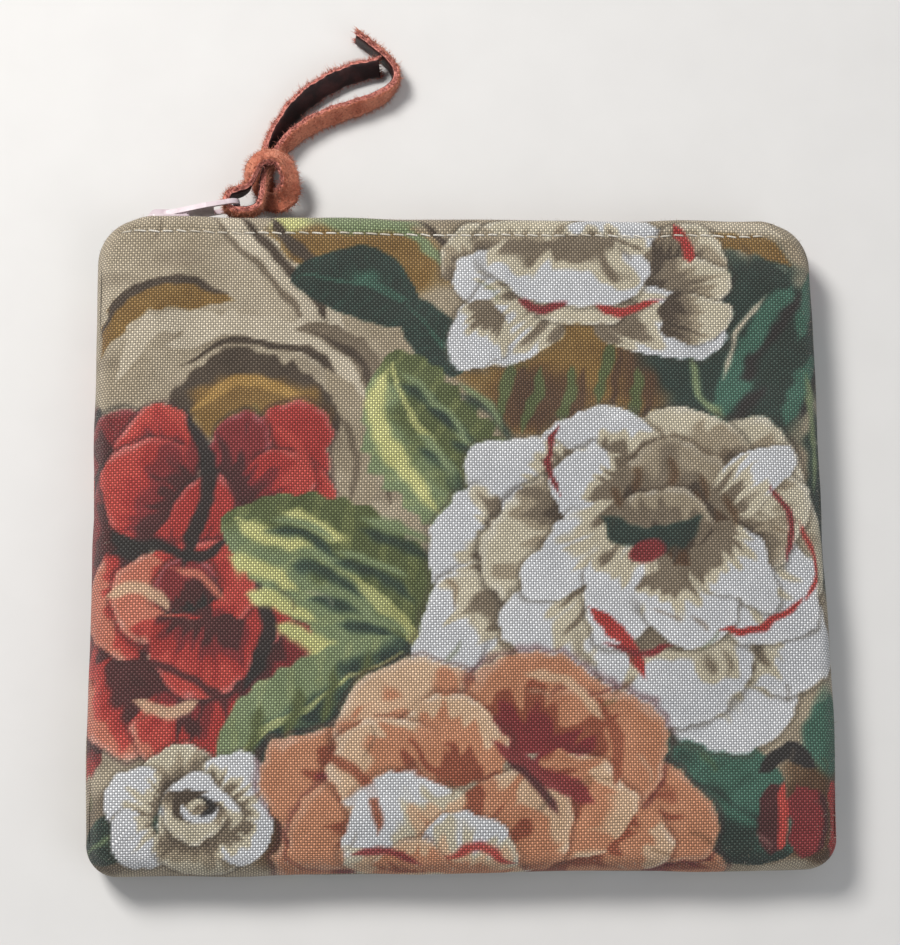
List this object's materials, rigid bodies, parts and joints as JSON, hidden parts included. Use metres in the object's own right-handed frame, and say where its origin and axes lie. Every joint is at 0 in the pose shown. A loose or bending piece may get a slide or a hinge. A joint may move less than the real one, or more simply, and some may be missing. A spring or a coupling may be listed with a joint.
{
  "type": "zippered pouch",
  "caption": "Small flat floral fabric pouch with a zip along its top edge, an enamelled slider and pull, and a knotted leather lace on the pull.",
  "frame": {"origin": "middle of the back face that the pouch lies on", "axes": "+X along the zip from its closed end, +Y from the bottom edge to the zip, +Z from the back panel to the front panel"},
  "size_m": [0.13, 0.1561, 0.0111],
  "materials": {
    "outer_fabric": "matt printed plain-weave canvas",
    "interfacing": "soft fused wadding",
    "lining_fabric": "thin plain cotton",
    "zipper_tape": "close herringbone tape",
    "zipper_coil": "smooth moulded monofilament",
    "stop_metal": "satin",
    "thread": "twisted polyester thread",
    "slider_enamel": "glossy enamel",
    "spring_steel": "fine brushed",
    "lace_leather": "suede on one side, smooth dark on the other"
  },
  "bodies": {
    "pouch": {"front_panel": "outer_fabric", "back_panel": "outer_fabric", "front_interfacing": "interfacing", "back_interfacing": "interfacing", "front_lining": "lining_fabric", "back_lining": "lining_fabric", "front_zipper_tape": "zipper_tape", "back_zipper_tape": "zipper_tape", "front_coil": "zipper_coil", "back_coil": "zipper_coil", "front_top_stop": "stop_metal", "back_top_stop": "stop_metal", "bottom_stop": "stop_metal", "seam_thread": "thread", "lining_closing_stitches": "thread", "front_topstitch": "thread", "back_topstitch": "thread"},
    "slider": {"slider_body": "slider_enamel", "slider_crown": "slider_enamel", "lock_spring": "spring_steel"},
    "pull": {"pull_tab": "slider_enamel"},
    "lace": {"lace_loop": "lace_leather", "lace_knot": "lace_leather", "lace_upper_tail": "lace_leather", "lace_lower_tail": "lace_leather"}
  },
  "joints": [
    {"name": "slider_slide", "type": "slide", "parent": "pouch", "child": "slider", "axis": [1, 0, 0], "range_m": [0, 0.104]},
    {"name": "pull_hinge", "type": "hinge", "parent": "slider", "child": "pull", "pos_m": [-0.0532, 0.05995, 0.0055], "axis": [0, 0, 1], "range_deg": [-2, 110]},
    {"name": "lace_swing", "type": "hinge", "parent": "pull", "child": "lace", "pos_m": [-0.04047, 0.06231, 0.0055], "axis": [0, 0, 1], "range_deg": [-9, 18]}
  ]
}
